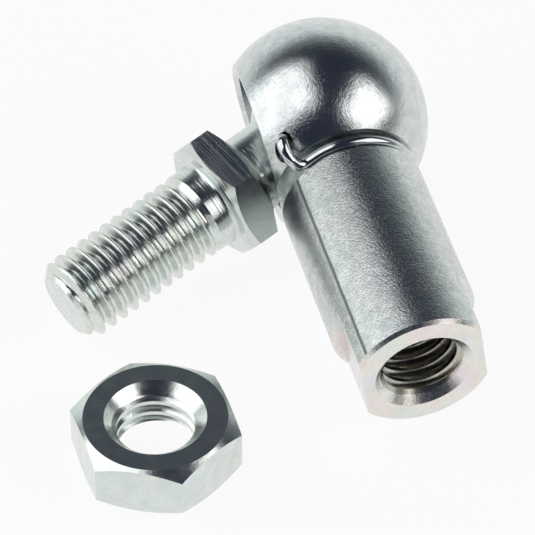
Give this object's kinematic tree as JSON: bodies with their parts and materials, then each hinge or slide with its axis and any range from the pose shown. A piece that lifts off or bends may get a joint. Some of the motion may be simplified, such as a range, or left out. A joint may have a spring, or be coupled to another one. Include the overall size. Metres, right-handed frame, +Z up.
{
  "type": "angle ball joint",
  "caption": "Right-angle ball joint: a threaded shank with a round socket head, a ball stud with a hexagon collar, a wire safety clip and a loose lock nut.",
  "frame": {"origin": "the ball's centre, where the two arms of the joint meet", "axes": "+Z up from the floor that the joint lies on; the shank's axis is over +X and slopes down to its rim; the stud points to -Y and +X and down to its tip"},
  "size_m": [0.0442, 0.0393, 0.0193],
  "materials": {
    "zinc_plated_steel": "bright zinc plate, satin on the shank and polished on the head",
    "spring_wire": "bright drawn wire"
  },
  "bodies": {
    "housing": {"ball_socket": "zinc_plated_steel", "safety_clip": "spring_wire", "hex_nut": "zinc_plated_steel"},
    "retaining_ring": {"snap_ring": "spring_wire"},
    "stud": {"ball_stud": "zinc_plated_steel"}
  },
  "joints": [
    {"name": "stud_swivel", "type": "hinge", "parent": "housing", "child": "retaining_ring", "pos_m": [0, 0, 0], "axis": [-0.0187, -0.9847, -0.1735], "continuous": true},
    {"name": "stud_swing", "type": "hinge", "parent": "retaining_ring", "child": "stud", "pos_m": [0, 0, 0], "axis": [0.1057, -0.1745, 0.979], "range_deg": [-44.05, 0]}
  ]
}
